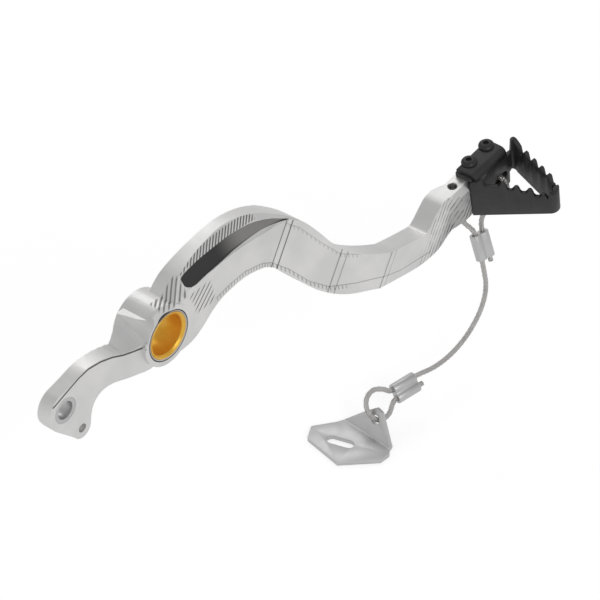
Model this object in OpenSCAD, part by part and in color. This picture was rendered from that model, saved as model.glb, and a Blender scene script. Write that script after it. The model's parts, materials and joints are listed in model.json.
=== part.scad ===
// Rear brake pedal of a motorbike: machined aluminium arm, bolted steel foot tip, safety cable.
// X runs forward to the foot tip, -Y is outboard, Z is up. The origin is the middle of the pivot bore.

/* [Pivot] */
// Radius of the boss round the pivot bore
boss_r = 14; // [13.6:0.2:15]
// Length of the boss along the pivot
boss_len = 18; // [17.6:0.2:22]
// Inner radius of the pivot bush
bush_bore_r = 9; // [8:0.25:9.25]
// Outer radius of the pivot bush
bush_r = 10.6; // [10.3:0.1:11]
// Width of the lead-in chamfer at each mouth of the bush
bush_chamfer = 1; // [0.4:0.1:1]
// Thickness of each dust seal's cord
seal_cord = 1.2; // [1:0.1:1.6]

/* [Arm] */
// Highest point of the hump, forward of the pivot
hump_x = 44; // [40:1:50]
// Height of the hump above the pivot
hump_z = 26.4; // [24:0.4:30]
// Highest point of the arm's underside, forward of the pivot
belly_x = 48; // [45:1:52]
// Height of the underside there
belly_z = 0.6; // [-2:0.2:2]
// Lowest point of the arm's top, forward of the pivot
dip_x = 144; // [138:1:150]
// Depth of the dip in the top edge below the pivot
dip_drop = 22.9; // [20:0.5:26]
// Depth of the heel below the pivot, under the dip
heel_drop = 38.8; // [36:0.2:42]
// Thickness of the arm at the hump
hump_thick = 13.5; // [12:0.5:16]
// Thickness of the arm at the toe
toe_thick = 9; // [8.4:0.2:11]
// Angle of the upper bevel from level
bevel_angle = 48; // [44:1:52]

/* [Toe] */
// Third tip hole, forward of the pivot
seat_x = 168.8; // [164:0.4:176]
// Depth of the tip's seat below the pivot, at the third hole
seat_drop = 10.9; // [8:0.1:13]
// Outboard distance of the row of tip holes from the middle of the pivot
seat_out = 27.9; // [27:0.1:29]
// Rise of the seat towards the front, in degrees
seat_tilt = 12; // [8:1:14]
// Depth of the toe block under its seat
toe_depth = 18.6; // [18.6:0.2:21]
// Spacing of the tip holes
hole_pitch = 12.8; // [12:0.1:13.5]
// Radius of the tip screws' threads
screw_r = 2; // [1.6:0.1:2.4]

/* [Rear lever] */
// Clevis eye, behind the pivot
eye_back = 58.4; // [54:0.4:64]
// Radius of the metal round the clevis eye
eye_r = 9; // [8:0.5:10]
// Outer radius of the clevis bush
eye_bush_r = 5.8; // [5.4:0.1:6.4]
// Radius of the clevis pin hole
pin_r = 4; // [3:0.1:4.5]
// Radius of the spring hole
spring_r = 2; // [1.5:0.1:2.5]
// Thickness of the rear lever
lever_thick = 6.5; // [5.5:0.25:7.5]

/* [Foot tip] */
// Thickness of the folded sheet
sheet = 2.2; // [1.8:0.1:2.4]
// Height of the outer loop of the tip
loop_h = 14; // [13:0.5:16]
// Reach of the loop out from the arm
loop_reach = 41.5; // [38:0.5:46]
// Pitch of the teeth on the rear wall
rear_pitch = 6.3; // [5.8:0.1:6.6]
// Pitch of the teeth on the front wall
front_pitch = 5.4; // [5:0.1:5.6]

/* [Cable] */
// Diameter of the wire rope
cable_d = 2.5; // [2:0.1:2.8]
// Length of each ferrule
ferrule_len = 13; // [11:0.5:15]
// Distance between a ferrule's two bores
ferrule_pitch = 4.6; // [4.2:0.1:5]
// Outer radius of each barrel of a ferrule
ferrule_r = 2.7; // [2.4:0.1:3]
// Thickness of the anchor bracket
bracket_t = 2.2; // [1.6:0.1:3]
// Radius of the hole for the cable in the bracket
bracket_hole_r = 2.4; // [2.2:0.1:2.6]

/* [Hidden] */
$fn = 48;
far = 300;

// Curves

function between(a, b, f) = [a[0] + f[0] * (b[0] - a[0]), a[1] + f[1] * (b[1] - a[1])];
function curve_point(a, b, c, d, t) =
    0.5 * (2 * b + t * (c - a) + t * t * (2 * a - 5 * b + 4 * c - d) + t * t * t * (3 * b - a - 3 * c + d));
// A smooth line through the points, with n steps from each point to the next
function smooth(p, n) = concat(
    [for (i = [0:len(p) - 2]) for (k = [0:n - 1])
        curve_point(p[max(i - 1, 0)], p[i], p[i + 1], p[min(i + 2, len(p) - 1)], k / n)],
    [p[len(p) - 1]]);
function arc(c, r, from, to, n) =
    [for (k = [0:n]) c + r * [cos(from + (to - from) * k / n), sin(from + (to - from) * k / n)]];
function reversed(p) = [for (i = [len(p) - 1:-1:0]) p[i]];

// Draws a shape given in X and Z, from y0 to y1
module along_y(y0, y1) {
    translate([0, y1, 0]) rotate([90, 0, 0]) linear_extrude(y1 - y0) children();
}
module y_cylinder(x, z, r, y0, y1) {
    translate([x, y1, z]) rotate([90, 0, 0]) cylinder(h = y1 - y0, r = r);
}

// The arm's side view

boss_out = -boss_len / 2;
boss_in = boss_len / 2;
hump = [hump_x, hump_z];
dip = [dip_x, -dip_drop];
belly = [belly_x, belly_z];
heel = [dip_x + 1, -heel_drop];
seat = [seat_x, -seat_drop];
toe_len = 2.5 * hole_pitch + 1;
function on_seat(along, up) =
    seat + [along * cos(seat_tilt) - up * sin(seat_tilt), along * sin(seat_tilt) + up * cos(seat_tilt)];

root_top = [[0, 8], [3, boss_r - 2.4], [9, 17.6], [16, 21], [28, 24.2]];
fall = [[0.14, 0.04], [0.26, 0.138], [0.36, 0.256], [0.42, 0.363], [0.475, 0.503], [0.52, 0.629],
        [0.57, 0.742], [0.63, 0.826], [0.72, 0.897], [0.84, 0.949]];
climb = [[0.2, 0.04], [0.45, 0.5], [0.66, 0.84]];
top_line = smooth(concat(root_top, [hump], [for (f = fall) between(hump, dip, f)], [dip],
    [for (f = climb) between(dip, on_seat(-3, 0), f)], [on_seat(-3, 0)]), 3);

root_low = [[3, -boss_r + 1], [14, -12.4], [21.6, -8.8], [27.6, -4.4], [35, -1]];
under = [[0.12, 0.05], [0.178, 0.12], [0.239, 0.236], [0.319, 0.454], [0.388, 0.624], [0.449, 0.731],
         [0.508, 0.802], [0.568, 0.843], [0.641, 0.87], [0.731, 0.909], [0.876, 0.967]];
low_line = smooth(concat(root_low, [belly], [for (f = under) between(belly, heel, f)], [heel],
    [between(heel, on_seat(-2, -toe_depth - 1), [0.45, 0.16]), between(heel, on_seat(-2, -toe_depth - 1), [0.75, 0.7]),
     on_seat(2, -toe_depth)]), 3);

module side_view() {
    polygon(concat(top_line, [on_seat(toe_len - 2, 0), on_seat(toe_len, -2), on_seat(toe_len, 3 - toe_depth),
        on_seat(toe_len - 3, -toe_depth)], reversed(low_line)));
}

// The arm's top view, seen along the forward-leaning creases of its outboard face

lean = 30;
face_out = boss_out + 0.5;
crease_1 = 60.5;
crease_2 = 91;
crease_3 = 116;
swing = seat_out - 27.9;
plan_out = [[-30, face_out], [crease_1, face_out], [crease_2, -19 - swing / 2], [crease_3, -30.2 - swing],
            [far, -34.5 - swing]];
plan_in = [[far, plan_out[4][1] + toe_thick], [crease_3, plan_out[3][1] + toe_thick + 0.6],
           [crease_2, plan_out[2][1] + toe_thick + 1.6], [crease_1 - 8, face_out + hump_thick],
           [-30, face_out + hump_thick]];
module plan_view() {
    rotate([0, lean, 0]) linear_extrude(far, center = true) polygon(concat(plan_out, plan_in));
}

// The upper bevel of the hump, and the leaf-shaped pocket in it

crease_line = smooth([[-30, 7], [-10, 9.8], [3, 12.4], [14, 14.8], [28, 16.2], [45, 17.4], [62, 16.4], [80, 13.6],
                      [92, 13.6]], 2);
module above_crease(sunk) {
    c = cos(bevel_angle);
    translate([0, face_out, 0]) rotate([90 + bevel_angle, 0, 0]) linear_extrude(far, center = true)
        polygon(concat([for (p = crease_line) [p[0], p[1] * c - sunk]], [[92, far], [-30, far]]));
}
leaf_len = 56;
leaf_w = 8;
leaf = smooth([[0, 1], [1.6, 3.6], [5, 5.6], [12, 7.2], [24, leaf_w], [38, 6.4], [leaf_len, 0.6]], 3);
leaf_x = 19;
pocket = 0.7;
module leaf_pocket() {
    intersection() {
        above_crease(pocket);
        translate([leaf_x, face_out, 16]) rotate([bevel_angle, 0, 0]) linear_extrude(far, center = true)
            polygon(concat(leaf, [[leaf_len - 12, 0], [leaf_len - 30, 1.2], [14, 0.9], [4, 0.2]]));
    }
}

// The rear lever

lever_out = boss_out + 2;
lever_in = lever_out + lever_thick;
eye = [-eye_back, -1.7];
lobe = eye + [8.3, -14.8];
lobe_r = 4.9;
module lever_side() {
    polygon(concat(
        smooth([[-3, 8], [-8, 11.2], [-18, 10.7], [-28, 10.3], [-37, 10.9], [-46, 10.9], eye + [4.4, eye_r + 1.4]], 3),
        arc(eye, eye_r, 108, 205, 8),
        smooth([eye + [-6.2, -7], lobe + [-5.6, -1]], 3),
        arc(lobe, lobe_r, 210, 350, 8),
        smooth([lobe + [5.4, 3], lobe + [7.2, 7.7], lobe + [11.8, 11], lobe + [18.6, 10.9], [-20.5, -9.4],
            [-10, -11.6], [-3, -8]], 3)));
}
module lever_plan() {
    linear_extrude(far, center = true)
        polygon([[-eye_back - 20, lever_out], [-16, lever_out], [-4, boss_out + 0.6], [0, boss_out + 0.6],
                 [0, boss_in - 1.5], [-12, boss_in - 1.5], [-26, lever_in], [-eye_back - 20, lever_in]]);
}

module pedal_arm() {
    color("gainsboro") difference() {
        union() {
            difference() {
                union() {
                    y_cylinder(0, 0, boss_r, boss_out, boss_in);
                    intersection() {
                        along_y(-80, 40) side_view();
                        plan_view();
                    }
                }
                above_crease(0);
                leaf_pocket();
            }
            intersection() {
                along_y(boss_out, boss_in) lever_side();
                lever_plan();
            }
        }
        y_cylinder(0, 0, bush_r, boss_out - 1, boss_in + 1);
        for (side = [-1, 1])
            translate([0, side * boss_in, 0]) rotate([90, 0, 0])
                cylinder(h = 2 * seal_cord, r = bush_r + seal_cord, center = true);
        y_cylinder(eye[0], eye[1], eye_bush_r, lever_out - 1, lever_in + 1);
        y_cylinder(lobe[0], lobe[1], spring_r, lever_out - 1, lever_in + 1);
        in_seat() for (i = [0:2]) {
            translate([i * hole_pitch, 0, -screw_len]) cylinder(h = screw_len + 1, r = screw_r);
        }
        in_seat() translate([cable_hole_x, 0, cable_hole_z]) rotate([90, 0, 0])
            cylinder(h = 40, r = cable_hole_r, center = true);
    }
}

module pivot_bush() {
    color("goldenrod") rotate([90, 0, 0]) rotate_extrude()
        polygon([[bush_bore_r, -boss_in + bush_chamfer], [bush_bore_r + bush_chamfer, -boss_in],
                 [bush_r, -boss_in], [bush_r, boss_in], [bush_bore_r + bush_chamfer, boss_in],
                 [bush_bore_r, boss_in - bush_chamfer]]);
}
module seal(y) {
    translate([0, y, 0]) rotate([90, 0, 0]) rotate_extrude()
        translate([bush_r + seal_cord / 2, 0]) circle(d = seal_cord, $fn = 16);
}
module outer_seal() { color("dimgray") seal(boss_out + seal_cord / 2); }
module inner_seal() { color("dimgray") seal(boss_in - seal_cord / 2); }
module clevis_bush() {
    color("silver") difference() {
        y_cylinder(eye[0], eye[1], eye_bush_r, lever_out, lever_in);
        y_cylinder(eye[0], eye[1], pin_r, lever_out - 1, lever_in + 1);
    }
}

// The toe's own frame: its origin is the third tip hole, its X runs forward along the seat

module in_seat() {
    translate([seat_x, -seat_out, -seat_drop]) rotate([0, -seat_tilt, 0]) children();
}
cable_hole_x = 25.5;
cable_hole_z = -13.2;
cable_hole_r = 3.2;

// The foot tip: a plate on the seat, a wall down the arm's side and a toothed loop out from it

tip_back = 5.6;
tip_front = 2.5 * hole_pitch - 0.4;
plate_in = 4.6;
wall_in = -toe_thick / 2 - 0.2;
wall_out = wall_in - sheet;
bend_in = 1.2;
wall_low = -toe_depth + 0.4;
tip_top = 2 * sheet;
loop_a = [5.2, wall_in];
loop_d = [32.5, wall_in - loop_reach];
loop_f = [37.5, wall_in];

function unit(v) = v / norm(v);
function side_of(v) = [-v[1], v[0]];
// The corner of two lines, each moved sideways by t
function inset_corner(a, b, c, t) =
    let (u = unit(b - a), v = unit(c - b), n = unit(side_of(u) + side_of(v)))
    b + n * t / (n * side_of(u));
// Points of a round of radius r at corner b
function rounded(a, b, c, r, n) =
    let (u = unit(a - b), v = unit(c - b), half = acos(u * v) / 2, m = unit(u + v),
         centre = b + m * r / sin(half), first = b + u * r / tan(half) - centre, last = b + v * r / tan(half) - centre,
         from = atan2(first[1], first[0]), to = atan2(last[1], last[0]), turn = to - from > 180 ? to - from - 360 :
         to - from < -180 ? to - from + 360 : to - from)
    [for (k = [0:n]) centre + r * [cos(from + turn * k / n), sin(from + turn * k / n)]];
function loop_line(t) =
    let (a = inset_corner(loop_f, loop_a, loop_d, t), d = inset_corner(loop_a, loop_d, loop_f, t),
         f = inset_corner(loop_d, loop_f, loop_a, t))
    concat(rounded(f, a, d, 3.4 - t, 4), rounded(a, d, f, 5.4 - t, 10), rounded(d, f, a, 3.4 - t, 4));

rear_dir = unit(loop_d - loop_a);
front_dir = unit(loop_d - loop_f);
rear_angle = atan2(rear_dir[1], rear_dir[0]);
front_angle = atan2(front_dir[1], front_dir[0]);

module tip_loop() {
    difference() {
        translate([0, 0, wall_low]) linear_extrude(22) difference() {
            polygon(loop_line(0));
            polygon(loop_line(sheet));
        }
        // Top edge of the rear wall, with its teeth
        translate([loop_a[0], loop_a[1], 0]) rotate([0, 0, rear_angle]) {
            along_y(-3, 5) polygon([[-6, -1], [8, -1.6], [40, -9.4], [40, far], [-6, far]]);
            for (i = [0:2])
                translate([19 + i * rear_pitch, 0, -4.6 - i * 1.5]) rotate([90, 0, 0])
                    cylinder(h = 12, r = 2, center = true, $fn = 24);
        }
        // Top and bottom edges of the front wall, with its teeth
        translate([loop_f[0], loop_f[1], 0]) rotate([0, 0, front_angle]) {
            along_y(-5, 3) polygon([[-6, 4.6], [5, 4.2], [34, -3.8], [48, -5], [48, far], [-6, far]]);
            for (i = [0:4])
                translate([8 + i * front_pitch, 0, 2.9 - i * 1.5]) rotate([90, 0, 0])
                    cylinder(h = 12, r = 1.3, center = true, $fn = 24);
            along_y(-5, 3) polygon([[-6, -12], [3, -12], [24, -19], [24, -far], [-6, -far]]);
        }
        // Room for the plate and its bend over the wall
        translate([0, wall_out - 1, 1]) cube([34, 12, 40]);
        translate([cable_hole_x, 0, cable_hole_z]) rotate([90, 0, 0]) linear_extrude(40, center = true)
            union() {
                translate([-2, 0]) circle(r = 3.2);
                translate([2, 0]) circle(r = 3.2);
                square([4, 6.4], center = true);
            }
    }
}
module tip_plate() {
    difference() {
        union() {
            translate([tip_back, wall_in + bend_in, sheet])
                cube([tip_front - tip_back, plate_in - wall_in - bend_in, sheet]);
            translate([tip_back, wall_in + bend_in, 0])
                cube([tip_front - tip_back - 1.2, plate_in - wall_in - bend_in - 0.6, sheet]);
            intersection() {
                translate([tip_back, wall_in + bend_in, sheet - bend_in]) rotate([0, 90, 0]) difference() {
                    cylinder(h = tip_front - tip_back, r = bend_in + sheet);
                    translate([0, 0, -1]) cylinder(h = tip_front, r = bend_in);
                }
                translate([0, wall_out - 1, sheet - bend_in]) cube([far, bend_in + sheet + 1, 20]);
            }
        }
        for (i = [1, 2]) translate([i * hole_pitch, 0, -1]) cylinder(h = 9, r = screw_r);
    }
}
module tip_claw() { color("#2b2b2d") in_seat() union() { tip_loop(); tip_plate(); } }

// Button-head screws

head_r = 3.7;
head_h = 2.4;
screw_len = 9;
module tip_screw(i) {
    in_seat() translate([i * hole_pitch, 0, tip_top]) difference() {
        union() {
            rotate_extrude() polygon(concat([[0, 0], [head_r, 0]],
                arc([head_r - 2.2, 0.2], 2.2, 8, 84, 6), [[0, head_h]]));
            translate([0, 0, -tip_top - screw_len + 1]) cylinder(h = tip_top + screw_len - 1, r = screw_r);
        }
        translate([0, 0, head_h - 1.6]) cylinder(h = 3, r = 1.45, $fn = 6);
    }
}
module rear_tip_bolt() { color("#1c1c1e") tip_screw(1); }
module front_tip_bolt() { color("#1c1c1e") tip_screw(2); }

// The safety cable

cable_points = [
    [199.4, -32.2, -68.3], [199.4, -26.4, -53.3], [199.4, -26, -52.4], [198.8, -26.4, -47.6], [197.4, -29.4, -42.3],
    [196, -33, -37], [195.2, -36, -31.5], [195.2, -37.4, -25.5], [195.8, -35, -19.6], [196, -28.5, -16.7],
    [196, -22, -19], [194.4, -18.7, -25], [189.2, -18.7, -38.5], [188.9, -20.6, -44.6], [191.3, -22.7, -49.8],
    [195, -24.8, -52.8], [195, -25.1, -53.8], [195, -29.9, -66.2], [195, -30.2, -67.2], [195.9, -31.5, -75],
    [198, -31.1, -82.5], [198.8, -30.2, -91.5], [195.9, -29.2, -101], [188, -28.5, -108.8], [176.5, -28, -112.9],
    [163.5, -27.8, -112.6], [149.8, -26.6, -110], [148.7, -26.3, -110.1], [135.9, -23.1, -111.5],
    [135, -22.9, -111.6], [132, -20.5, -109.8], [127.7, -18.2, -108.8], [123.1, -18, -110.5], [120.4, -20, -114],
    [120.4, -22.7, -117.3], [122.8, -25.6, -119.9], [128, -27, -119.5], [134.4, -25.8, -115.3],
    [135.6, -26, -115.1], [150.9, -29.8, -113.5]];

function flat_to(n, t) = unit(n - (n * t) * t);
// The route's direction at each of its points
function heading(p, i) = i == 0 ? unit(p[1] - p[0]) : i == len(p) - 1 ? unit(p[i] - p[i - 1]) :
    unit(unit(p[i] - p[i - 1]) + unit(p[i + 1] - p[i]));
// The route with a point more between each two, so that a straight stretch stays straight
function rope_line(p) = concat([for (i = [0:len(p) - 2])
    each [p[i], (p[i] + p[i + 1]) / 2 + norm(p[i + 1] - p[i]) * (heading(p, i) - heading(p, i + 1)) / 8]],
    [p[len(p) - 1]]);
module rope(points, d) {
    line = rope_line(points);
    last = len(line) - 1;
    tangents = [for (i = [0:last]) unit(line[min(i + 1, last)] - line[max(i - 1, 0)])];
    normals = [for (i = 0, n = flat_to([0, 1, 0.3], tangents[0]); i <= last;
        i = i + 1, n = i <= last ? flat_to(n, tangents[i]) : n) n];
    rings = [for (i = [0:last]) for (k = [0:7])
        line[i] + d / 2 * (cos(45 * k) * normals[i] + sin(45 * k) * cross(tangents[i], normals[i]))];
    polyhedron(rings, concat([[for (k = [0:7]) k]],
        [for (i = [0:last - 1]) for (k = [0:7])
            [8 * i + k, 8 * i + 8 + k, 8 * i + 8 + (k + 1) % 8, 8 * i + (k + 1) % 8]],
        [[for (k = [7:-1:0]) 8 * last + k]]), convexity = 10);
}
module safety_cable() { color("silver") rope(cable_points, cable_d); }

// A ferrule from its middle, its length's direction and the direction of its width
module ferrule(middle, along, wide) {
    z = unit(along);
    x = unit(wide - (wide * z) * z);
    tilt = acos(z[2]);
    turn = atan2(z[1], z[0]);
    // The width's direction in the frame that is turned and tilted to the length
    side = [x[0] * cos(turn) * cos(tilt) + x[1] * sin(turn) * cos(tilt) - x[2] * sin(tilt),
            -x[0] * sin(turn) + x[1] * cos(turn)];
    translate(middle) rotate([0, tilt, turn]) rotate([0, 0, atan2(side[1], side[0])]) difference() {
        union() {
            for (s = [-1, 1]) translate([s * ferrule_pitch / 2, 0, 0])
                cylinder(h = ferrule_len, r = ferrule_r, center = true);
            cube([ferrule_pitch, 1.5 * ferrule_r, ferrule_len], center = true);
        }
        for (s = [-1, 1]) translate([s * ferrule_pitch / 2, 0, 0])
            cylinder(h = 2 * ferrule_len, d = cable_d + 0.1, center = true);
    }
}
module upper_ferrule() { color("lightgray") ferrule([197.2, -28.15, -59.75], [0, -5, -13], [4.4, -1.3, 0.5]); }
module lower_ferrule() { color("lightgray") ferrule([142.15, -26.15, -112.6], [-6.5, 1.6, -0.7], [-0.3, -2.85, -3.6]); }

// The anchor bracket: a flat plate with a slot, and a tab bent up from it with the cable's hole

bracket_hole = [121, -24.7, -119];
bracket_turn = -6;
tab_lean = 72;
tab_bend = 2;
tab_hole = [8.6, -2.2];
slot_r = 2.7;
slot_half = 4.2;
function rounded_polygon(p, r) = [for (i = [0:len(p) - 1])
    each rounded(p[(i + len(p) - 1) % len(p)], p[i], p[(i + 1) % len(p)], r, 4)];
// The bent sheet from its end, seen along the bend, with its upper faces meeting at the origin
function bent_sheet() =
    let (c = [-tab_bend * tan(tab_lean / 2), tab_bend], end = 30 * [cos(tab_lean), sin(tab_lean)],
         across = bracket_t * [sin(tab_lean), -cos(tab_lean)])
    concat([[-40, 0]], arc(c, tab_bend, -90, tab_lean - 90, 8), [end, end + across],
        reversed(arc(c, tab_bend + bracket_t, -90, tab_lean - 90, 8)), [[-40, -bracket_t]]);
module flat_outline() {
    polygon(rounded_polygon([[-0.5, -14.5], [-2.7, -16.8], [-9, -17], [-24.4, -4], [-22, 18], [-15, 22.4],
        [-4.3, 16], [-0.5, 14.5]], 1.1));
}
module tab_outline() {
    polygon(rounded_polygon([[-3, -14.5], [0, -14.5], [1.6, -13], [8, -8.4], [13.4, -4.4], [14.2, -0.8], [9.1, 5.2],
        [0, 14.5], [-3, 14.5]], 0.8));
}
module anchor_bracket() {
    color("silver") translate(bracket_hole) rotate([0, 0, bracket_turn])
        translate([-tab_hole[0] * cos(tab_lean), -tab_hole[1], -tab_hole[0] * sin(tab_lean)]) difference() {
            intersection() {
                along_y(-20, 30) polygon(bent_sheet());
                union() {
                    linear_extrude(20, center = true) flat_outline();
                    rotate([0, -tab_lean, 0]) linear_extrude(12, center = true) tab_outline();
                }
            }
            translate([-13.2, 4.8, 0]) rotate([0, 0, 112]) linear_extrude(20, center = true) union() {
                translate([-slot_half, 0]) circle(r = slot_r);
                translate([slot_half, 0]) circle(r = slot_r);
                square([2 * slot_half, 2 * slot_r], center = true);
            }
            rotate([0, -tab_lean, 0]) translate([tab_hole[0], tab_hole[1], 0])
                cylinder(h = 12, r = bracket_hole_r, center = true);
        }
}

pedal_arm();
pivot_bush();
outer_seal();
inner_seal();
clevis_bush();
tip_claw();
rear_tip_bolt();
front_tip_bolt();
safety_cable();
upper_ferrule();
lower_ferrule();
anchor_bracket();
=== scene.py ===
import json
import math

import bmesh
import bpy
from mathutils import Euler, Matrix, Vector

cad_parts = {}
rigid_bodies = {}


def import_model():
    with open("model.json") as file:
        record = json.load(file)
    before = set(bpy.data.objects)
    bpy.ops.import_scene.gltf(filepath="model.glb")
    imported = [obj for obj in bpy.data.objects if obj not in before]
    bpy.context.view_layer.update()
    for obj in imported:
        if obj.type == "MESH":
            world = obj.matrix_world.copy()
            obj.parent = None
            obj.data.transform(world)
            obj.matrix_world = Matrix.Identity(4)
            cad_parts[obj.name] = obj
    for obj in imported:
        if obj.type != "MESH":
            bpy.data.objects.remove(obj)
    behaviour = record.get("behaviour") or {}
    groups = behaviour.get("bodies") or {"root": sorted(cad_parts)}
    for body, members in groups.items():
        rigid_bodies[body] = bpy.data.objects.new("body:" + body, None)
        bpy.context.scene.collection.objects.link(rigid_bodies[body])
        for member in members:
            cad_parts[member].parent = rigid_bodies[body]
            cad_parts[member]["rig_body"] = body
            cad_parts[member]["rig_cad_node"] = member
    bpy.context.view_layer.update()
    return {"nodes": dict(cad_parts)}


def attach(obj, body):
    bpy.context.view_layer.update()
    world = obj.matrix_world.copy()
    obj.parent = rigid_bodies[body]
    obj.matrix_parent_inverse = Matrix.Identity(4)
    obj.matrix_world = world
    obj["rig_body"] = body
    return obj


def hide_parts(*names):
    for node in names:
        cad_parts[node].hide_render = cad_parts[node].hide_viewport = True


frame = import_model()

mm = 0.001
scene = bpy.context.scene
scene.view_settings.view_transform = "Standard"


# Shader maths: an expression on values adds its Math nodes
class Value:
    def __init__(self, tree, socket):
        self.tree = tree
        self.socket = socket

    def maths(self, operation, first, second=None):
        node = self.tree.nodes.new("ShaderNodeMath")
        node.operation = operation
        for slot, item in enumerate((first, second)):
            if isinstance(item, Value):
                self.tree.links.new(item.socket, node.inputs[slot])
            elif item is not None:
                node.inputs[slot].default_value = item
        return Value(self.tree, node.outputs[0])

    def __add__(self, other):
        return self.maths("ADD", self, other)

    def __radd__(self, other):
        return self.maths("ADD", other, self)

    def __sub__(self, other):
        return self.maths("SUBTRACT", self, other)

    def __rsub__(self, other):
        return self.maths("SUBTRACT", other, self)

    def __mul__(self, other):
        return self.maths("MULTIPLY", self, other)

    def __rmul__(self, other):
        return self.maths("MULTIPLY", other, self)

    def sine(self):
        return self.maths("SINE", self)

    def apart(self):
        return self.maths("ABSOLUTE", self)

    # 0 below low, 1 above high and smooth between
    def step(self, low, high):
        node = self.tree.nodes.new("ShaderNodeMapRange")
        node.interpolation_type = "SMOOTHSTEP"
        self.tree.links.new(self.socket, node.inputs["Value"])
        node.inputs["From Min"].default_value = low
        node.inputs["From Max"].default_value = high
        return Value(self.tree, node.outputs[0])


# Any node of a tree: its settings first, then the values or links of its sockets
class Nodes:
    def __init__(self, tree):
        self.tree = tree

    def add(self, kind, settings=(), sockets=(), output=0):
        node = self.tree.nodes.new("ShaderNode" + kind)
        for name, value in dict(settings).items():
            if name == "stops":
                ramp = node.color_ramp
                while len(ramp.elements) < len(value):
                    ramp.elements.new(0.5)
                for element, (position, colour) in zip(ramp.elements, value):
                    element.position = position
                    element.color = (*colour, 1)
            else:
                setattr(node, name, value)
        for name, value in dict(sockets).items():
            if isinstance(value, Value):
                self.tree.links.new(value.socket, node.inputs[name])
            else:
                node.inputs[name].default_value = value
        return Value(self.tree, node.outputs[output])


# A material with a Principled shader, whose constants are set by name
class Finish(Nodes):
    def __init__(self, name, **constants):
        self.material = bpy.data.materials.new(name)
        self.material.use_nodes = True
        super().__init__(self.material.node_tree)
        self.shader = self.tree.nodes["Principled BSDF"]
        for socket, value in constants.items():
            self.shader.inputs[socket.replace("_", " ")].default_value = value
        self.place = self.add("TexCoord", output="Object")

    def feed(self, socket, value):
        self.tree.links.new(value.socket, self.shader.inputs[socket])

    def axis(self, letter, source=None):
        return self.add("SeparateXYZ", (), {"Vector": source or self.place}, letter)

    # The place on the object, in mm
    def places(self):
        return [self.axis(letter) * 1000 for letter in "XYZ"]

    def noise(self, scale, detail=3, stretch=None):
        place = self.place
        if stretch:
            place = self.add("Mapping", (), {"Vector": place, "Scale": stretch})
        return self.add("TexNoise", (), {"Vector": place, "Scale": scale, "Detail": detail})

    def blend(self, factor, first, second):
        return self.add("Mix", {"data_type": "RGBA"}, {0: factor, 6: first, 7: second}, 2)

    def bump(self, height, distance, strength=1.0, under=None):
        sockets = {"Height": height, "Distance": distance, "Strength": strength}
        if under:
            sockets["Normal"] = under
        return self.add("Bump", (), sockets)


def grey(level, warmth=0.0):
    return (level * (1 + warmth), level, level * (1 - warmth), 1)


def deselectAll():
    if bpy.context.object and bpy.context.object.mode != "OBJECT":
        bpy.ops.object.mode_set(mode="OBJECT")
    bpy.ops.object.select_all(action="DESELECT")


def activate(piece):
    deselectAll()
    piece.select_set(True)
    bpy.context.view_layer.objects.active = piece


def applyModifier(piece, kind, **settings):
    activate(piece)
    modifier = piece.modifiers.new(kind.title(), kind)
    for name, value in settings.items():
        setattr(modifier, name, value)
    bpy.ops.object.modifier_apply(modifier=modifier.name)


def shadeByAngle(piece, degrees):
    activate(piece)
    bpy.ops.object.shade_smooth_by_angle(angle=math.radians(degrees))


def finishPiece(piece, name, finish, node):
    piece.name = piece.data.name = name
    piece.data.materials.clear()
    piece.data.materials.append(finish.material)
    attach(piece, "root")
    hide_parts(node)


# A sheet drawn from a plane by extruding its last edge from station to station, then thickened
def foldSheet(name, stations, thickness, closed=False, facing=None):
    deselectAll()
    bpy.ops.mesh.primitive_plane_add(size=1)
    piece = bpy.context.object
    piece.name = name
    bpy.ops.object.mode_set(mode="EDIT")
    shape = bmesh.from_edit_mesh(piece.data)
    corners = list(shape.verts)
    for vertex, place in zip(corners, (stations[0][0], stations[0][1], stations[1][0], stations[1][1])):
        vertex.co = Vector(place) * mm
    edge = [corners[2], corners[3]]
    for before, after in zip(stations[1:], stations[2:]):
        bpy.ops.mesh.select_all(action="DESELECT")
        for vertex in edge:
            vertex.select = True
        shape.select_flush(True)
        bpy.ops.mesh.extrude_edges_move(
            TRANSFORM_OT_translate={"value": (Vector(after[0]) - Vector(before[0])) * mm})
        shape = bmesh.from_edit_mesh(piece.data)
        edge = [v for v in shape.verts if v.select]
        edge.sort(key=lambda v: (v.co - Vector(after[0]) * mm).length)
        edge[1].co = Vector(after[1]) * mm
    bpy.ops.mesh.select_all(action="SELECT")
    if closed:
        bpy.ops.mesh.remove_doubles(threshold=0.00002)
    bpy.ops.mesh.normals_make_consistent(inside=False)
    if facing and sum(face.normal.dot(Vector(facing)) for face in shape.faces) < 0:
        bpy.ops.mesh.flip_normals()
    bpy.ops.object.mode_set(mode="OBJECT")
    applyModifier(piece, "SOLIDIFY", thickness=thickness * mm, offset=-1, use_even_offset=True)
    return piece


def block(low, high):
    deselectAll()
    bpy.ops.mesh.primitive_cube_add(size=1)
    piece = bpy.context.object
    bpy.ops.object.mode_set(mode="EDIT")
    low, high = Vector(low) * mm, Vector(high) * mm
    bpy.ops.transform.resize(value=tuple(high - low))
    bpy.ops.transform.translate(value=tuple((low + high) / 2))
    bpy.ops.object.mode_set(mode="OBJECT")
    return piece


def rod(centre, radius, length, turn=(0, 0, 0), sides=40):
    deselectAll()
    bpy.ops.mesh.primitive_cylinder_add(vertices=sides, radius=radius * mm, depth=length * mm)
    piece = bpy.context.object
    turned = Euler([math.radians(angle) for angle in turn]).to_matrix().to_4x4()
    settle(piece, Matrix.Translation(Vector(centre) * mm) @ turned)
    return piece


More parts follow.
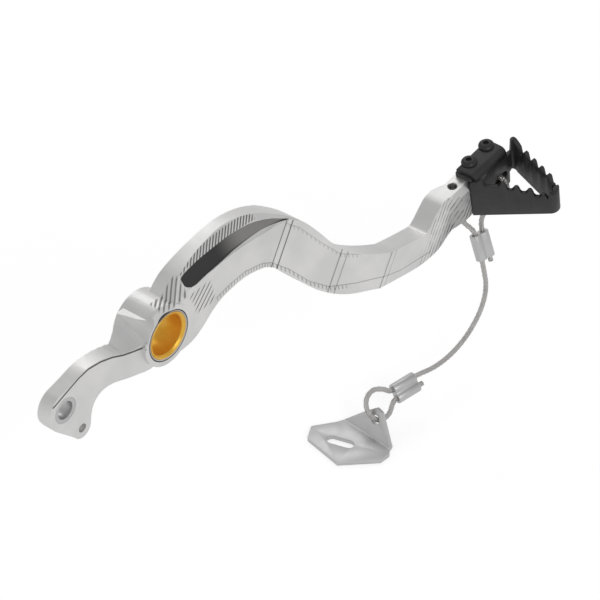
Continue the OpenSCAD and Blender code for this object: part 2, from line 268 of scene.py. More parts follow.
# Opens the piece in edit mode with the vertices selected whose place passes the test
def selectWhere(piece, test):
    activate(piece)
    bpy.ops.object.mode_set(mode="EDIT")
    bpy.ops.mesh.select_mode(type="VERT")
    bpy.ops.mesh.select_all(action="DESELECT")
    shape = bmesh.from_edit_mesh(piece.data)
    for vertex in shape.verts:
        vertex.select = test(vertex.co)
    shape.select_flush(True)
    return shape


# Puts a piece at its place and leaves its object at the origin
def settle(piece, place):
    activate(piece)
    piece.matrix_world = place
    bpy.ops.object.transform_apply(location=True, rotation=True, scale=True)


def cutAway(piece, tool):
    applyModifier(piece, "BOOLEAN", operation="DIFFERENCE", object=tool, solver="EXACT")
    bpy.data.objects.remove(tool)


def joinPieces(main, others):
    activate(main)
    for other in others:
        other.select_set(True)
    bpy.ops.object.join()
    return main


# Camera: perspective, from the pedal's outboard side, above and behind
cameraSet = {"yaw": 51.0, "pitch": 38.19, "aim": (95.64, 0, -44.5), "distance": 1000, "lens": 134.68}


def makeCamera(s):
    yaw, pitch = math.radians(s["yaw"]), math.radians(s["pitch"])
    ahead = Vector((math.sin(yaw) * math.cos(pitch), math.cos(yaw) * math.cos(pitch), -math.sin(pitch)))
    right = Vector((math.cos(yaw), -math.sin(yaw), 0))
    turn = Matrix((right, right.cross(ahead), -ahead)).transposed()
    data = bpy.data.cameras.new("camera")
    data.lens, data.sensor_width = s["lens"], 36
    data.clip_start, data.clip_end = 0.05, 20
    camera = bpy.data.objects.new("camera", data)
    scene.collection.objects.link(camera)
    camera.matrix_world = Matrix.Translation((Vector(s["aim"]) - ahead * s["distance"]) * mm) @ turn.to_4x4()
    scene.camera = camera


makeCamera(cameraSet)
print("camera placed")


# The wire rope: six strands along a route through the holes of the claw and the toe, in metres
rope = {
    "diameter": 0.0025,
    "strands": 6,
    "perStrand": 6,
    "lay": 0.0165,
    "ringEvery": 0.0008,
    "points": [
        (0.1994, -0.0322, -0.0683), (0.1994, -0.0264, -0.0533), (0.1994, -0.026, -0.0524),
        (0.1993, -0.0255, -0.0488), (0.199, -0.0263, -0.0445), (0.1983, -0.0296, -0.0388),
        (0.1977, -0.0346, -0.0334), (0.1973, -0.0387, -0.028), (0.1968, -0.0402, -0.022),
        (0.1962, -0.0394, -0.018), (0.1958, -0.0366, -0.0162), (0.1957, -0.033, -0.016),
        (0.1958, -0.026, -0.0162), (0.1959, -0.0226, -0.018), (0.1954, -0.0196, -0.023),
        (0.194, -0.0176, -0.031), (0.1928, -0.017, -0.039), (0.1924, -0.0178, -0.0448),
        (0.1933, -0.0202, -0.0484), (0.1946, -0.0232, -0.051), (0.195, -0.0248, -0.0528),
        (0.195, -0.0251, -0.0538), (0.195, -0.0299, -0.0662), (0.195, -0.0302, -0.0672),
        (0.1959, -0.0315, -0.075), (0.198, -0.0311, -0.0825), (0.1988, -0.0302, -0.0915),
        (0.1959, -0.0292, -0.101), (0.188, -0.0285, -0.1088), (0.1765, -0.028, -0.1129),
        (0.1635, -0.0278, -0.1126), (0.1498, -0.0266, -0.11), (0.1487, -0.0263, -0.1101),
        (0.1359, -0.0231, -0.1115), (0.135, -0.0229, -0.1116), (0.132, -0.0205, -0.1098),
        (0.1277, -0.0182, -0.1088), (0.1231, -0.018, -0.1105), (0.1204, -0.02, -0.114),
        (0.1204, -0.0227, -0.1173), (0.1228, -0.0256, -0.1199), (0.128, -0.027, -0.1195),
        (0.1344, -0.0258, -0.1153), (0.1356, -0.026, -0.1151), (0.1509, -0.0298, -0.1135),
    ],
}


# A smooth line through the route's points that keeps its straight stretches straight
def routeLine(points, spacing):
    points = [Vector(p) for p in points]
    steps = [(b - a).normalized() for a, b in zip(points, points[1:])]
    heads = [steps[0]] + [(a + b).normalized() for a, b in zip(steps, steps[1:])] + [steps[-1]]
    line = []
    for a, b, headA, headB in zip(points, points[1:], heads, heads[1:]):
        span = (b - a).length
        count = max(1, round(span / spacing))
        for k in range(count):
            t = k / count
            line.append(a * (1 + t * t * (2 * t - 3)) + b * (t * t * (3 - 2 * t))
                        + headA * span * t * (1 - t) ** 2 - headB * span * t * t * (1 - t))
    return line + [points[-1]]


def makeRope(s):
    line = routeLine(s["points"], s["ringEvery"])
    strandR = s["diameter"] / 6
    offset = 2 * strandR
    sides = s["strands"] * s["perStrand"]
    mesh = bpy.data.meshes.new("safetyRope")
    piece = bpy.data.objects.new("safetyRope", mesh)
    scene.collection.objects.link(piece)
    shape = bmesh.new()
    layer = shape.loops.layers.uv.new("along")
    side = Vector((0, 1, 0.3))
    travelled = 0.0
    rings, lengths = [], []
    for i, centre in enumerate(line):
        ahead = (line[min(i + 1, len(line) - 1)] - line[max(i - 1, 0)]).normalized()
        side = (side - ahead * side.dot(ahead)).normalized()
        up = ahead.cross(side)
        if i:
            travelled += (centre - line[i - 1]).length
        twist = 2 * math.pi * travelled / s["lay"]
        ring = []
        for k in range(sides):
            lobe = 2 * math.pi / s["strands"]
            away = (k % s["perStrand"]) / s["perStrand"] * lobe - lobe / 2
            reach = offset * math.cos(away) + math.sqrt(max(strandR**2 - (offset * math.sin(away)) ** 2, 0))
            angle = twist + k * 2 * math.pi / sides
            ring.append(shape.verts.new(centre + (side * math.cos(angle) + up * math.sin(angle)) * reach))
        rings.append(ring)
        lengths.append(travelled)
    for i in range(len(rings) - 1):
        for k in range(sides):
            n = (k + 1) % sides
            face = shape.faces.new((rings[i][k], rings[i][n], rings[i + 1][n], rings[i + 1][k]))
            face.smooth = True
            for loop, (u, v) in zip(face.loops, ((i, k), (i, k + 1), (i + 1, k + 1), (i + 1, k))):
                loop[layer].uv = (lengths[u] / s["diameter"], v / s["perStrand"])
    shape.faces.new(reversed(rings[0]))
    shape.faces.new(rings[-1])
    shape.to_mesh(mesh)
    shape.free()
    return piece, line, travelled


ropePiece, ropeLine, ropeLength = makeRope(rope)
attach(ropePiece, "root")
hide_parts("safety_cable")
print("rope made,", round(ropeLength, 4), "m long")


# A copy of a CAD node with its loose triangles merged and its edges eased: lengths in mm, angles in degrees
easing = {"merge": 0.01, "flat": 0.4, "segments": 2, "angle": 32, "smooth": 38}


def easeEdges(piece, width, segments, angle, **more):
    applyModifier(piece, "BEVEL", width=width * mm, segments=segments, limit_method="ANGLE",
                  angle_limit=math.radians(angle), use_clamp_overlap=True, **more)


def easedCopy(node, name, width, e=easing):
    source = frame["nodes"][node]
    piece = source.copy()
    piece.data = source.data.copy()
    piece.name = piece.data.name = name
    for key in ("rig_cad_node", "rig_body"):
        if key in piece:
            del piece[key]
    piece.parent = None
    piece.matrix_world = Matrix.Identity(4)
    scene.collection.objects.link(piece)
    piece.hide_render = piece.hide_viewport = False
    activate(piece)
    piece.data.materials.clear()
    bpy.ops.object.mode_set(mode="EDIT")
    bpy.ops.mesh.select_all(action="SELECT")
    bpy.ops.mesh.remove_doubles(threshold=e["merge"] * mm)
    bpy.ops.mesh.dissolve_limited(angle_limit=math.radians(e["flat"]))
    bpy.ops.object.mode_set(mode="OBJECT")
    if width:
        easeEdges(piece, width, e["segments"], e["angle"], miter_outer="MITER_ARC")
    shadeByAngle(piece, e["smooth"])
    return piece


def dress(node, name, finish, width):
    piece = easedCopy(node, name, width)
    finishPiece(piece, name, finish, node)
    return piece


# The foot tip's seat: where the third tip hole opens on the toe, in the photograph and in the CAD source
seat = {"at": (169.9, -28.2, -10.7), "tilt": 12, "turn": 2}
builtSeat = {"at": (168.8, -27.9, -10.9), "tilt": 12, "turn": 0}


def seatPlace(s):
    turned = Matrix.Rotation(-math.radians(s["tilt"]), 4, "Y") @ Matrix.Rotation(-math.radians(s["turn"]), 4, "Z")
    return Matrix.Translation(Vector(s["at"]) * mm) @ turned


# The foot tip: a plate on the seat that rolls over into a wall, and a toothed loop out from the wall.
# Lengths are in mm in the seat's frame. Corners are X, Y and radius, edges are length along a wall and
# height, wallLine is X, bottom and top, and plateEdge is the way in, the ear's share and the front's cut
claw = {
    "sheet": 2.2,
    "back": 6.9,
    "ear": 5.7,
    "front": 29.2,
    "inboard": 2.2,
    "wall": -6.3,
    "bend": 0.8,
    "low": -19.4,
    "rearCorner": (4.6, -6.3),
    "outerCorner": (31.2, -44.7, 4.4),
    "frontCorner": (36.0, -6.3, 3.4),
    "frontSteps": 8,
    "outerSteps": 11,
    "clear": 0.2,
    "holeStretch": 1.5,
    "edge": 0.3,
    "wallLine": [(4.6, -19.4, 1.2), (14, -19.4, 1.2), (20, -19.4, 1.2), (27.6, -19.4, 1.2), (29.2, -18.44, 1.2),
                 (29.6, -18.2, -1.4), (30.2, -17.8, -1.4), (30.5, -11.8, -1.4)],
    "arcLow": (-11.2, -0.16),
    "underLine": {"start": -12.6, "level": 3, "fall": 0.41, "end": 19},
    "plateCorner": (0.5, 3.6),
    "plateEdge": [(0.4, 1, 2.2), (0.9, 0.9, 1.4), (1.7, 0.5, 0.6), (2.7, 0, 0.15), (3.4, 0, 0)],
    "plateLow": -0.4,
    "rollSteps": 8,
    "cableHole": (24.1, -10.9, 3.0),
    "frontTop": [(4.6, 5.2), (5.8, 4.0), (6.5, 3.2), (6.8, 1.8)],
    "frontTeeth": [(-0.8, 2.2), (-2.7, 0.3), (-4.4, -1.4), (-5.9, -3.2), (-7.8, -5.3)],
    "toothLine": [(0.0, 0.1), (0.4, 0.0), (1.0, 0.02), (1.5, 0.25), (2.1, 0.8), (2.4, 1.0), (3.6, 0.96), (4.0, 0.7)],
    "firstTooth": 7.1,
    "toothPitch": 4.65,
    "frontArc": [-1.4, -1.4, -1.4, 5.5, 6.2, 6.6, 6.6, 6.3, 5.8],
    "rearTop": [(1.0, 1.4), (5.5, 1.4), (6.1, -0.6), (7.0, -1.7), (12.4, -1.8), (13.2, -1.0), (14.1, 0.3),
                (15.0, 0.4), (15.7, -0.6), (16.5, -3.2), (17.2, -4.3), (18.4, -4.5), (19.2, -3.8), (20.0, -2.6), (21.1, -2.4),
                (21.8, -3.4), (22.4, -5.4), (23.2, -6.3), (24.6, -6.4), (25.3, -5.7), (26.0, -4.6), (27.0, -4.4),
                (27.8, -5.6), (28.4, -7.8), (29.2, -8.8), (30.6, -9.0), (31.3, -8.6), (32.0, -7.6), (33.0, -7.4),
                (33.8, -8.6), (34.5, -10.4), (35.2, -11.1)],
    "outerTop": [-9.5, -7.6, -7.0, -6.8, -6.8, -6.9, -7.0, -7.2, -7.6, -8.0, -7.4, -6.4],
}


# The points of the round at corner b between a and c
def roundCorner(a, b, c, radius, count):
    a, b, c = (Vector(p[:2]) for p in (a, b, c))
    u, v = (a - b).normalized(), (c - b).normalized()
    half = u.angle(v) / 2
    centre = b + (u + v).normalized() * radius / math.sin(half)
    first, last = b + u * radius / math.tan(half) - centre, b + v * radius / math.tan(half) - centre
    sweep = first.angle_signed(last)
    return [centre + Matrix.Rotation(-sweep * k / count, 2) @ first for k in range(count + 1)]


def makeClawLoop(s):
    rear, outer, front = s["rearCorner"], s["outerCorner"], s["frontCorner"]
    low = s["low"]
    frontRound = roundCorner(rear, front, outer, front[2], s["frontSteps"])
    outerRound = roundCorner(front, outer, rear, outer[2], s["outerSteps"])
    rear, outer, front = (Vector(corner[:2]) for corner in (rear, outer, front))
    tail = (outerRound[0] - outer).length
    stations = []

    def station(place, bottom, height):
        stations.append(((place[0], place[1], bottom), (place[0], place[1], height)))

    # Along the arm, round the front corner, out, round the outer end and back
    for x, bottom, height in s["wallLine"]:
        station((x, s["wall"]), bottom, height)
    for k, place in enumerate(frontRound):
        station(place, s["arcLow"][0] + s["arcLow"][1] * k, s["frontArc"][k])
    edge = list(s["frontTop"])
    for tooth, (valley, tip) in enumerate(s["frontTeeth"]):
        for along, share in s["toothLine"]:
            edge.append((s["firstTooth"] + tooth * s["toothPitch"] + along, valley + (tip - valley) * share))
    under = s["underLine"]
    ahead, reach = (outer - front).normalized(), (outer - front).length
    for along, height in edge:
        if along < reach - tail - s["clear"]:
            bottom = under["start"] - max(0, along - under["level"]) * under["fall"] if along < under["end"] else low
            station(front + ahead * along, bottom, height)
    for place, height in zip(outerRound, s["outerTop"]):
        station(place, low, height)
    back, reach = (outer - rear).normalized(), (outer - rear).length
    for along, height in reversed(s["rearTop"]):
        if along < reach - tail - s["clear"]:
            station(rear + back * along, low, height)
    stations.append(stations[0])
    loop = foldSheet("clawLoop", stations, s["sheet"], closed=True)
    x, z, radius = s["cableHole"]
    hole = rod((x, s["wall"], z), radius, 12, turn=(90, 0, 0))
    activate(hole)
    bpy.ops.object.mode_set(mode="EDIT")
    bpy.ops.transform.resize(value=(s["holeStretch"], 1, 1), center_override=(x * mm, 0, z * mm))
    bpy.ops.object.mode_set(mode="OBJECT")
    cutAway(loop, hole)
    return loop


# The plate and its roll, drawn from the inboard edge over to the wall
def makeClawPlate(s):
    bend, top = s["bend"] + s["sheet"], s["sheet"] * 2
    centreY, centreZ = s["wall"] + s["bend"], top - bend
    back, ahead = s["back"], s["front"]
    ear = back - s["ear"]
    rearCut, frontCut = s["plateCorner"]
    stations = [((back + rearCut - ear, s["inboard"], top), (ahead - frontCut, s["inboard"], top))]
    for inward, share, frontCut in s["plateEdge"]:
        y = s["inboard"] - inward
        stations.append(((back - share * ear, y, top), (ahead - frontCut, y, top)))
    for k in range(s["rollSteps"] + 1):
        turn = math.pi / 2 * k / s["rollSteps"]
        y, z = centreY - bend * math.sin(turn), centreZ + bend * math.cos(turn)
        stations.append(((back, y, z), (ahead, y, z)))
    stations.append(((back, centreY - bend, s["plateLow"]), (ahead, centreY - bend, s["plateLow"])))
    return foldSheet("clawPlate", stations, s["sheet"])


def makeClaw(s, seat, finish):
    under = block((s["ear"] + 0.3, s["wall"], 0), (s["front"] - 0.8, s["inboard"] + 0.6, s["sheet"] + 0.1))
    piece = joinPieces(makeClawLoop(s), [makeClawPlate(s), under])
    easeEdges(piece, s["edge"], 2, 35)
    settle(piece, seatPlace(seat))
    shadeByAngle(piece, 38)
    finishPiece(piece, "tipClaw", finish, "tip_claw")
    print("claw folded,", len(piece.data.polygons), "faces")


# The toe that carries the tip: its block is drawn out of the arm's own section. Lengths in mm in the seat's
# frame; bevel is where the wedge's face starts in Y and its drop, and the sink is a cone's two radii and depth
toe = {
    "cut": -7.4,
    "start": -0.8,
    "end": 29.2,
    "outboard": -6.1,
    "inboard": 3.7,
    "depth": -18.6,
    "bevel": (-3.7, -3.6),
    "wedge": ((-6.4, -12, 0), (40, 6, 14)),
    "edge": 0.4,
    "hole": 2.0,
    "holeDepth": 12,
    "sink": (0.5, 2.9, 2.4),
    "sinkAt": -0.8,
    "cableHole": (24.1, -10.9, 2.6),
}

# The leaf-shaped pocket in the upper bevel: stations of X, lower edge and upper edge, measured up the
# bevel from its crease, whose line is given as X and Z
leaf = {
    "angle": 48,
    "face": -8.5,
    "depth": 0.8,
    "above": 1.2,
    "crease": [(-10, 9.8), (3, 12.4), (14, 14.8), (28, 16.2), (45, 17.4), (62, 16.4), (80, 13.6)],
    "stations": [(12.8, 2.4, 5.6), (13.6, 1.4, 6.2), (15.4, 0.3, 6.6), (18.0, -0.2, 6.9), (23, 0.1, 7.2),
                 (29, 0.3, 7.3), (36, 0.5, 7.3), (43, 0.9, 7.2), (50, 1.3, 7.0), (56.5, 1.6, 6.6), (61, 1.7, 5.9),
                 (65, 1.6, 5.0), (70, 1.3, 3.8), (74.5, 0.7, 2.2), (78.3, 0.0, 0.4)],
}


# The slope behind the boss, where the lever's outboard face ends: stations of X, Z outboard and Z inboard.
# A flat joins it to the boss along the steep direction, and a cone thins the boss's outboard end
shoulder = {
    "outboard": -7.8,
    "inboard": 9.5,
    "depth": 9,
    "steep": (2.4, 0, 4.8),
    "flat": ((0, -3, 0), (10, 24, 6)),
    "cone": (12.5, 17.1),
    "coneReach": ((-12.5, -9.5, 4.0), (-1.6, 3.5, 25)),
    "stations": [(-12.4, 3.9, 12.6), (-15, 2.9, 12.2), (-18, 2.9, 12), (-21.5, 3.9, 11.8), (-25, 5.2, 11.7),
                 (-28.5, 7.0, 11.7), (-32, 8.5, 11.8), (-36, 9.7, 12), (-41, 10.6, 12.2), (-47, 10.9, 12.4)],
}


def drawToe(piece, t, place):
    ahead = place.to_3x3() @ Vector((1, 0, 0))
    activate(piece)
    bpy.ops.object.mode_set(mode="EDIT")
    bpy.ops.mesh.select_all(action="SELECT")
    bpy.ops.mesh.bisect(plane_co=place @ Vector((t["cut"] * mm, 0, 0)), plane_no=ahead, use_fill=True,
                        clear_outer=True, clear_inner=False)
    bpy.ops.mesh.select_mode(type="FACE")
    bpy.ops.mesh.extrude_region_move(TRANSFORM_OT_translate={"value": ahead * (t["start"] - t["cut"]) * mm})
    shape = bmesh.from_edit_mesh(piece.data)
    drawn = [v for v in shape.verts if v.select]
    inside = place.inverted()
    across = [(inside @ v.co).y for v in drawn]
    down = [(inside @ v.co).z for v in drawn]
    for vertex in drawn:
        spot = inside @ vertex.co
        spot.y = (t["outboard"] + (t["inboard"] - t["outboard"])
                  * (spot.y - min(across)) / (max(across) - min(across))) * mm
        spot.z = t["depth"] * mm * (max(down) - spot.z) / (max(down) - min(down))
        vertex.co = place @ spot
    bpy.ops.mesh.extrude_region_move(TRANSFORM_OT_translate={"value": ahead * (t["end"] - t["start"]) * mm})
    bpy.ops.object.mode_set(mode="OBJECT")
    inner, drop = t["bevel"]
    wedge = block(*t["wedge"])
    lean = Matrix.Rotation(math.atan2(drop, t["outboard"] - inner) + math.pi, 4, "X")
    settle(wedge, place @ Matrix.Translation((0, inner * mm, 0)) @ lean)
    cutAway(piece, wedge)


def cone(near, far, depth, place, sides):
    deselectAll()
    bpy.ops.mesh.primitive_cone_add(vertices=sides, radius1=near * mm, radius2=far * mm, depth=depth * mm)
    piece = bpy.context.object
    settle(piece, place)
    return piece


def slopeShoulder(piece, s):
    edges = [((x, s["outboard"], low), (x, s["inboard"], high)) for x, low, high in s["stations"]]
    cutAway(piece, foldSheet("slope", edges, s["depth"], facing=(0, 0, -1)))
    start = Vector(edges[0][0])
    across = (Vector(edges[0][1]) - start).normalized()
    out = Vector(s["steep"]).cross(across).normalized()
    flat = block(*s["flat"])
    settle(flat, Matrix.Translation(start * mm) @ Matrix((across.cross(out), across, out)).transposed().to_4x4())
    cutAway(piece, flat)
    low, high = s["coneReach"]
    around = block(low, high)
    place = Matrix.Translation((0, (high[1] + low[1]) / 2 * mm, 0)) @ Matrix.Rotation(math.pi / 2, 4, "X")
    small, large = s["cone"]
    cutAway(around, cone(large, small, high[1] - low[1], place, 120))
    cutAway(piece, around)


def drillToe(piece, t, place):
    hole = rod((0, 0, -3), t["hole"], t["holeDepth"])
    settle(hole, place)
    cutAway(piece, hole)
    small, large, depth = t["sink"]
    cutAway(piece, cone(small, large, depth, place @ Matrix.Translation((0, 0, t["sinkAt"] * mm)), 40))
    x, z, radius = t["cableHole"]
    hole = rod((x, 0, z), radius, 40, turn=(90, 0, 0))
    settle(hole, place)
    cutAway(piece, hole)


def cutLeaf(piece, l, finish, leafReflectionFinish):
    lean = math.radians(l["angle"])
    up = Vector((0, math.cos(lean), math.sin(lean)))
    out = Vector((0, -math.sin(lean), math.cos(lean)))
    crease = [Vector((x, l["face"], z)) for x, z in l["crease"]]

    def onBevel(x, rise):
        for a, b in zip(crease, crease[1:]):
            if x <= b.x or b is crease[-1]:
                return a.lerp(b, (x - a.x) / (b.x - a.x)) + up * rise + out * l["above"]

    pocket = foldSheet("pocket", [(onBevel(x, low), onBevel(x, high)) for x, low, high in l["stations"]],
                       l["above"] + l["depth"], facing=out)
    pocket.data.materials.append(finish.material)
    pocket.data.materials.append(leafReflectionFinish.material)
    # the pocket's floor takes the finish with the painted dark reflection
    for face in pocket.data.polygons:
        if abs(face.normal.dot(out)) > 0.9:
            face.material_index = 1
    cutAway(piece, pocket)


def makeArm(t, l, s, seat, finish, leafReflectionFinish):
    piece = easedCopy("pedal_arm", "arm", 0)
    piece.data.materials.append(finish.material)
    piece.data.materials.append(leafReflectionFinish.material)
    place = seatPlace(seat)
    drawToe(piece, t, place)
    slopeShoulder(piece, s)
    easeEdges(piece, t["edge"], 2, 32, miter_outer="MITER_ARC")
    drillToe(piece, t, place)
    cutLeaf(piece, l, finish, leafReflectionFinish)
    shadeByAngle(piece, 40)
    applyModifier(piece, "WEIGHTED_NORMAL", keep_sharp=True)
    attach(piece, "root")
    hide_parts("pedal_arm")
    print("arm drawn,", len(piece.data.polygons), "faces")


# Lines on the arm, in mm on its own axes: the creases of the outboard face with the darkness and depth of their
# painted shade lines, the lower, upper and lever edges that carry painted shade lines, machining ribs beside the
# leaf, the boss and the toe, a painted shade on the toe's outboard face, ticks along the edges. Every band is low,
# high and softness
machiningAndShade = {
    "lean": (0.866, 0.5),
    # painted shade lines at the creases: place across the plan and darkness
    "creases": [(59.1, 0.95), (62.6, 0.8), (92.2, 0.55), (95.3, 0.4), (116.1, 0.5), (119.2, 0.35)],
    "creaseWidth": 0.42,
    "lowerEdge": [(30, 0.7), (38.9, 2.6), (48.6, 3.5), (59.7, 1.2), (65.6, -1.7), (74.4, -9.2), (82.9, -18.7),
                  (91.8, -25.1), (103.6, -27.8), (115.5, -29.2), (128.7, -32.9), (151.6, -35.2)],
    "upperEdge": [(76, 12.9), (82.4, 8.0), (90.8, -2.3), (99.4, -11.6), (108, -15.2)],
    "leverEdge": [(-64.4, 3.8), (-61.2, 5.0), (-56.2, 6.9), (-49.9, 9.2), (-44.3, 10.2), (-37.5, 9.4), (-30.8, 7.4),
                  (-24.7, 4.6), (-18, 2.4), (-13, 1.2)],
    "edgeWidth": 0.35,
    "leverWidth": 0.6,
    "ticks": {"pitch": 1.8, "soft": (0.1, 0.7), "lower": (-2.0, -0.2, 0.3), "upper": (-1.7, -0.2, 0.3)},
    "leafRibs": {"pitch": 1.95, "soft": (-0.1, 0.6), "x": (12.5, 61, 1), "y": (-3.9, -1.0, 0.25)},
    "bossRibs": {"pitch": 3.3, "soft": (-0.2, 0.9), "x": (-2.5, 12.5, 1), "y": (-9.5, -1.5, 0.5), "z": (11.5, 13)},
    "steepRibs": {"pitch": 3.6, "soft": (0.3, 0.9), "reach": (17.5, 29, 1.2), "x": (13, 31, 1), "z": (0.2, 12, 0.8)},
    "toeRibs": {"pitch": 2.3, "soft": (0.3, 0.8), "plan": (141, 176, 0.6), "dark": (149, 157)},
    "skew": 1.5,
}


# A height along X, read off a colour ramp through the points
def curve(f, x, points):
    first, last = points[0][0], points[-1][0]
    lowest, highest = min(z for _, z in points), max(z for _, z in points)
    stops = [((a - first) / (last - first), ((z - lowest) / (highest - lowest),) * 3) for a, z in points]
    share = f.add("ValToRGB", {"stops": stops}, {"Fac": (x - first) * (1 / (last - first))})
    return f.add("RGBToBW", (), {"Color": share}) * (highest - lowest) + lowest


# 1 between low and high, with soft ends
def between(value, low, high, soft):
    return value.step(low - soft, low + soft) * (1 - value.step(high - soft, high + soft))


# 1 on a thin line where the value passes the place
def line(value, place, width):
    return 1 - (value - place).apart().step(width * 0.4, width)


def ribs(value, pitch, soft):
    return (value * (2 * math.pi / pitch)).sine().step(*soft)


def fromPivot(x, z):
    return x.maths("SQRT", x * x + z * z)


def polishedAluminium(m):
    f = Finish("polishedAluminium", Metallic=1.0)
    x, y, z = f.places()
    normal = f.add("TexCoord", output="Normal")
    outward, upward = 0 - f.axis("Y", normal), f.axis("Z", normal)
    side = outward.step(0.86, 0.9)
    bevelled = between(upward, 0.35, 0.85, 0.05) * outward.step(0.4, 0.5)
    plan = x * m["lean"][0] - z * m["lean"][1]
    skew = x - y * m["skew"]
    low, top, lever = (curve(f, x, m[edge]) for edge in ("lowerEdge", "upperEdge", "leverEdge"))
    # Ribs, ticks and painted shade on the outboard face
    # painted shade: dark lines along the creases where the outboard face turns
    marksAndShade = sum(depth * line(plan, place, m["creaseWidth"]) for place, depth in m["creases"])
    # painted shade: dark lines along the lower and upper edges of the outboard face
    marksAndShade = marksAndShade + 0.4 * line(z, low, m["edgeWidth"]) * between(x, 30, 151, 1)
    marksAndShade = marksAndShade + 0.3 * line(z, top, m["edgeWidth"]) * between(x, 76, 108, 1)
    r = m["ticks"]
    ticks = ribs(x, r["pitch"], r["soft"])
    marksAndShade = marksAndShade + 0.42 * ticks * between(z - low, *r["lower"]) * between(x, 30, 100, 2)
    marksAndShade = marksAndShade + 0.25 * ticks * between(z - top, *r["upper"]) * between(x, 76, 108, 2)
    r = m["steepRibs"]
    steep = ribs(x - z, r["pitch"], r["soft"]) * between(fromPivot(x, z), *r["reach"])
    marksAndShade = marksAndShade + 0.75 * steep * between(x, *r["x"]) * between(z, *r["z"])
    r = m["toeRibs"]
    worn = f.noise(160).step(0.35, 0.62) * 0.5 + 0.05
    marksAndShade = marksAndShade + worn * ribs(plan, r["pitch"], r["soft"]) * between(plan, *r["plan"])
    # painted shade: the toe's outboard face darker past plan 149 to 157
    marksAndShade = marksAndShade + 0.45 * plan.step(*r["dark"])
    # painted shade: a dark line along the lever's edge; only outboard faces take these lines
    marksAndShade = (marksAndShade + line(z, lever, m["leverWidth"]) * between(x, -65, -13.5, 0.5)) * side
    # Marks on the upper bevel
    r = m["leafRibs"]
    marksAndShade = marksAndShade + 0.9 * bevelled * ribs(skew, r["pitch"], r["soft"]) * between(x, *r["x"]) * between(y, *r["y"])
    r = m["bossRibs"]
    marksAndShade = marksAndShade + (0.75 * ribs(skew, r["pitch"], r["soft"]) * between(x, *r["x"]) * between(y, *r["y"])
                     * z.step(*r["z"]))
    marksAndShade = marksAndShade.maths("MINIMUM", marksAndShade, 1.0)
    metal = f.blend(f.noise(60).step(0.3, 0.7), grey(0.76, 0.004), grey(0.84, 0.008))
    # the ribs and the painted shade lines darken the metal towards grey 0.13
    f.feed("Base Color", f.blend(marksAndShade, metal, grey(0.13)))
    f.feed("Roughness", 0.36 + 0.12 * f.noise(140, 4) + 0.1 * marksAndShade)
    brushed = f.bump(f.noise(420, stretch=(0.12, 1, 1)), 0.00003, 0.5)
    f.feed("Normal", f.bump(marksAndShade, -0.0003, 0.6, under=brushed))
    return f


# Painted dark reflection for the leaf pocket's floor, darkest at the boss end and along the crease
def leafPaintedReflection():
    f = Finish("leafPaintedReflection", Metallic=1.0)
    x, y, _ = f.places()
    # painted reflection: dark grey at the boss end and the crease, fading to a pale grey towards the point
    reflectionFade = x.step(34, 52) * y.step(-7.4, -6.4)
    f.feed("Base Color", f.blend(reflectionFade, grey(0.075), grey(0.34, 0.02)))
    f.feed("Roughness", 0.42 + 0.16 * f.noise(220, 4))
    f.feed("Normal", f.bump(f.noise(500, 4), 0.00005, 0.6))
    return f


# A rubber ring in a pale metal shell
def darkRubber(shell=(11.2, 11.35)):
    f = Finish("darkRubber", Roughness=0.5)
    x, _, z = f.places()
    rubber = f.blend(f.noise(300, 2), grey(0.025), grey(0.05))
    f.feed("Base Color", f.blend(fromPivot(x, z).step(*shell), grey(0.62, 0.03), rubber))
    return f


# One tone that drifts between two colours: cloud is the noise's scale and its soft step, rough is the lowest
# roughness, its range and its noise's scale, grain is the bump's noise, stretch, distance and strength
def plainFinish(name, metallic, cloud, first, second, rough, grain=None):
    f = Finish(name, Metallic=metallic)
    scale, soft = cloud
    drift = f.noise(scale)
    f.feed("Base Color", f.blend(drift.step(*soft) if soft else drift, first, second))
    f.feed("Roughness", rough[0] + rough[1] * f.noise(rough[2]))
    if grain:
        scale, detail, stretch, distance, strength = grain
        f.feed("Normal", f.bump(f.noise(scale, detail, stretch), distance, strength))
    return f


def strandedWire():
    f = Finish("strandedWire", Metallic=0.9, Roughness=0.35)
    uv = f.add("UVMap", {"uv_map": "along"})
    wires = ((f.axis("X", uv) * 5.2 + f.axis("Y", uv) * 3.0) * math.pi).sine()
    f.feed("Base Color", f.blend(f.noise(200, 3), grey(0.5, 0.02), grey(0.68, 0.03)))
    f.feed("Roughness", 0.32 + 0.1 * wires)
    f.feed("Normal", f.bump(wires, 0.00008, 0.8))
    return f


bronze = plainFinish("bronze", 0.75, (200, (0.3, 0.7)), (0.86, 0.47, 0.05, 1), (0.93, 0.58, 0.1, 1),
                     (0.32, 0.15, 300), (700, 2, (1, 0.1, 1), 0.00003, 0.5))
steel = plainFinish("machinedSteel", 1, (150, None), grey(0.55), grey(0.66), (0.3, 0.15, 300))
coat = plainFinish("blackCoat", 0, (90, (0.3, 0.7)), grey(0.018), grey(0.03), (0.36, 0.14, 260),
                   (1500, 2, None, 0.00003, 0.4))
oxide = plainFinish("blackOxide", 0.6, (260, None), grey(0.03), grey(0.06), (0.3, 0.15, 400))
satin = plainFinish("satinAluminium", 1, (120, None), grey(0.56), grey(0.68), (0.34, 0.16, 350),
                    (500, 3, None, 0.00004, 0.5))
sheetSteel = plainFinish("satinSteel", 1, (80, None), grey(0.6), grey(0.7), (0.36, 0.14, 300),
                         (700, 3, (1, 0.2, 1), 0.00003, 0.5))
rubber = darkRubber()
ropePiece.data.materials.append(strandedWire().material)
print("finishes made")

makeArm(toe, leaf, shoulder, seat, polishedAluminium(machiningAndShade), leafPaintedReflection())
dress("pivot_bush", "pivotBush", bronze, 0.15)
dress("outer_seal", "outerSeal", rubber, 0)
dress("inner_seal", "innerSeal", rubber, 0)
dress("clevis_bush", "clevisBush", steel, 0.2)
makeClaw(claw, seat, coat)

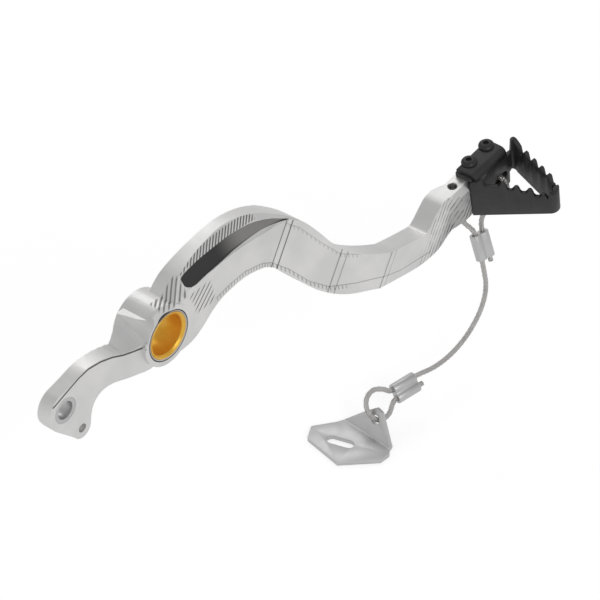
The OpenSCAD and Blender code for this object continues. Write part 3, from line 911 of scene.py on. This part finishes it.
# The screws move to the drawn seat, with their heads flattened
screw = {"edge": 0.12, "headFrom": 4.45, "headBase": 4.4, "flatten": 0.8}
for node, name in (("rear_tip_bolt", "rearTipBolt"), ("front_tip_bolt", "frontTipBolt")):
    bolt = dress(node, name, oxide, screw["edge"])
    settle(bolt, seatPlace(builtSeat).inverted())
    selectWhere(bolt, lambda v: v.z > screw["headFrom"] * mm)
    bpy.ops.transform.resize(value=(1, 1, screw["flatten"]), center_override=(0, 0, screw["headBase"] * mm))
    bpy.ops.object.mode_set(mode="OBJECT")
    settle(bolt, seatPlace(seat))
upper = dress("upper_ferrule", "upperFerrule", satin, 0.3)
lower = dress("lower_ferrule", "lowerFerrule", satin, 0.3)
bracket = dress("anchor_bracket", "anchorBracket", sheetSteel, 0.25)
print("pieces dressed")

# Floor, backdrop and light: the floor's height in mm and its reach in metres, the share of the glow that
# glossy rays see, the sky's strength from the horizon up, and the lamps' place, size and watts
stageSet = {
    "floor": -129.6,
    "reach": 3.0,
    "floorGrey": 0.62,
    "floorGlow": 0.6,
    "glossShare": 0.55,
    "skySpan": (-0.1, 0.7),
    "sky": (0.92, 0.62),
    "aim": (0.07, 0, -0.04),
    "lamps": {"keyLamp": ((-0.3, -0.9, 0.7), 0.5, 2.2), "topLamp": ((0.6, 0.6, 0.9), 0.6, 1.2)},
}


# White where the camera looks, and a plain studio grey for light and reflections
def paleFloor(s):
    f = Finish("paleFloor", Roughness=0.9, Specular_IOR_Level=0.2)
    f.shader.inputs["Base Color"].default_value = grey(s["floorGrey"])
    seen = f.add("LightPath", output="Is Camera Ray") + s["glossShare"] * f.add("LightPath", output="Is Glossy Ray")
    white = f.add("Emission", (), {"Color": grey(1), "Strength": s["floorGlow"]})
    both = f.add("AddShader", (), {0: Value(f.tree, f.shader.outputs[0]), 1: white})
    shown = f.add("MixShader", (), {0: seen, 1: Value(f.tree, f.shader.outputs[0]), 2: both})
    f.tree.links.new(shown.socket, f.tree.nodes["Material Output"].inputs["Surface"])
    return f.material


def makeStage(s):
    deselectAll()
    bpy.ops.mesh.primitive_plane_add(size=2 * s["reach"], location=(0, 0, 0))
    floor = bpy.context.object
    floor.name = "floor"
    for vertex in floor.data.vertices:
        vertex.co.z = s["floor"] * mm
    floor.data.materials.append(paleFloor(s))


def makeSky(s):
    world = bpy.data.worlds.new("studio")
    scene.world = world
    world.use_nodes = True
    n = Nodes(world.node_tree)
    white = n.tree.nodes["Background"]
    white.inputs["Color"].default_value = grey(1)
    place = n.add("TexCoord", output="Generated")
    height = n.add("SeparateXYZ", (), {0: place}, "Z")
    strength = n.add("MapRange", (), {"Value": height, "From Min": s["skySpan"][0], "From Max": s["skySpan"][1],
                                      "To Min": s["sky"][0], "To Max": s["sky"][1]})
    shine = n.add("Background", {"name": "shine"}, {"Strength": strength})
    rays = n.add("LightPath", output="Is Camera Ray")
    mix = n.add("MixShader", (), {0: rays, 1: shine, 2: Value(n.tree, white.outputs[0])})
    n.tree.links.new(mix.socket, n.tree.nodes["World Output"].inputs["Surface"])


def makeLamp(name, place, aim, size, power):
    data = bpy.data.lights.new(name, "AREA")
    data.shape, data.size, data.energy = "SQUARE", size, power
    lamp = bpy.data.objects.new(name, data)
    scene.collection.objects.link(lamp)
    lamp.location = place
    lamp.rotation_mode = "QUATERNION"
    lamp.rotation_quaternion = (Vector(aim) - Vector(place)).to_track_quat("-Z", "Y")


makeStage(stageSet)
makeSky(stageSet)
for name, (place, size, power) in stageSet["lamps"].items():
    makeLamp(name, place, stageSet["aim"], size, power)
print("stage and lamps set")
